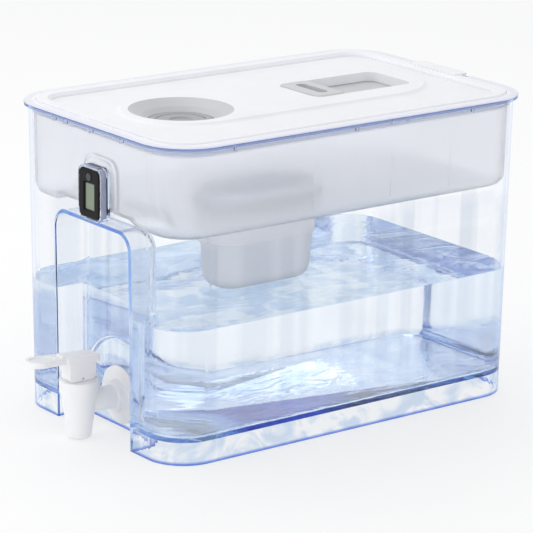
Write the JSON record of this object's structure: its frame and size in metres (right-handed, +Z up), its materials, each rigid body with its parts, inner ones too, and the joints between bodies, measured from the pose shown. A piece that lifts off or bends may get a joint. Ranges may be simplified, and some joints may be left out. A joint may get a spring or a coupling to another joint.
{
  "type": "gravity water filter with tap",
  "caption": "Countertop gravity water filter: a clear tank with a recessed lever tap, a frosted upper reservoir with a hanging filter, a lid with a refill tray, and a small indicator.",
  "frame": {"origin": "centre of the tank's foot, on the ground under the middle of its rim", "axes": "+Z up, the tap and the indicator face -Y, and the tank is longest along Y"},
  "size_m": [0.23, 0.4146, 0.2528],
  "materials": {
    "clear_plastic": "clear, with a blue tint at the edges",
    "frosted_plastic": "frosted, translucent",
    "seal_rubber": "soft",
    "filter_plastic": "smooth",
    "screen_felt": "felted",
    "resin": "fine beads",
    "carbon": "granular",
    "lid_plastic": "satin",
    "cap_plastic": "satin",
    "tap_plastic": "satin",
    "steel": "plain",
    "black_plastic": "glossy",
    "button_plastic": "glossy",
    "display_panel": "glossy",
    "board": "lacquered"
  },
  "bodies": {
    "tank": {"tank": "clear_plastic", "outer_gasket": "seal_rubber", "inner_gasket": "seal_rubber", "tap_nut": "tap_plastic", "tap_body": "tap_plastic", "tap_bonnet": "tap_plastic", "valve_spring": "steel", "indicator_holder": "clear_plastic"},
    "reservoir": {"reservoir": "frosted_plastic", "well_gasket": "seal_rubber", "filter_well": "frosted_plastic"},
    "cartridge": {"filter_seal": "seal_rubber", "filter_shell": "filter_plastic", "lower_screen": "screen_felt", "resin_bed": "resin", "middle_screen": "screen_felt", "carbon_bed": "carbon", "upper_screen": "screen_felt", "filter_cap": "filter_plastic"},
    "lid": {"lid": "lid_plastic"},
    "refill_door": {"refill_door": "lid_plastic"},
    "port_cap": {"port_cap": "cap_plastic"},
    "lever": {"tap_lever": "tap_plastic", "lever_pin": "steel"},
    "stem": {"valve_stem": "tap_plastic", "valve_plug": "seal_rubber"},
    "indicator": {"indicator_case": "black_plastic", "indicator_face": "black_plastic", "battery_cover": "black_plastic", "display": "display_panel", "circuit_board": "board", "button_switch": "black_plastic", "coin_cell": "steel", "battery_clip": "steel"},
    "button": {"indicator_button": "button_plastic"}
  },
  "joints": [
    {"name": "reservoir_lift", "type": "slide", "parent": "tank", "child": "reservoir", "axis": [0, 0, 1], "range_m": [0, 0.12]},
    {"name": "cartridge_lift", "type": "slide", "parent": "reservoir", "child": "cartridge", "axis": [0, 0, 1], "range_m": [0, 0.044]},
    {"name": "lid_lift", "type": "slide", "parent": "reservoir", "child": "lid", "axis": [0, 0, 1], "range_m": [0, 0.08]},
    {"name": "door_slide", "type": "slide", "parent": "lid", "child": "refill_door", "axis": [0, 1, 0], "range_m": [0, 0.04]},
    {"name": "port_cap_lift", "type": "slide", "parent": "lid", "child": "port_cap", "axis": [0, 0, 1], "range_m": [0, 0.03]},
    {"name": "lever_press", "type": "hinge", "parent": "tank", "child": "lever", "pos_m": [0, -0.19475, 0.0468], "axis": [1, 0, 0], "range_deg": [0, 15], "stiffness_Nm_per_rad": 0.3, "springref_deg": -11.46},
    {"name": "stem_lift", "type": "slide", "parent": "tank", "child": "stem", "axis": [0, 0, 1], "range_m": [0, 0.0022], "deforming": ["valve_spring"]},
    {"name": "indicator_pull", "type": "slide", "parent": "tank", "child": "indicator", "axis": [0, -1, 0], "range_m": [0, 0.02]},
    {"name": "button_press", "type": "slide", "parent": "indicator", "child": "button", "axis": [0, 1, 0], "range_m": [0, 0.0006], "stiffness_N_per_m": 2000, "springref_m": -0.0002}
  ],
  "couplings": [
    {"joint": "stem_lift", "follows": "lever_press", "m_per_rad": 0.0080459}
  ]
}
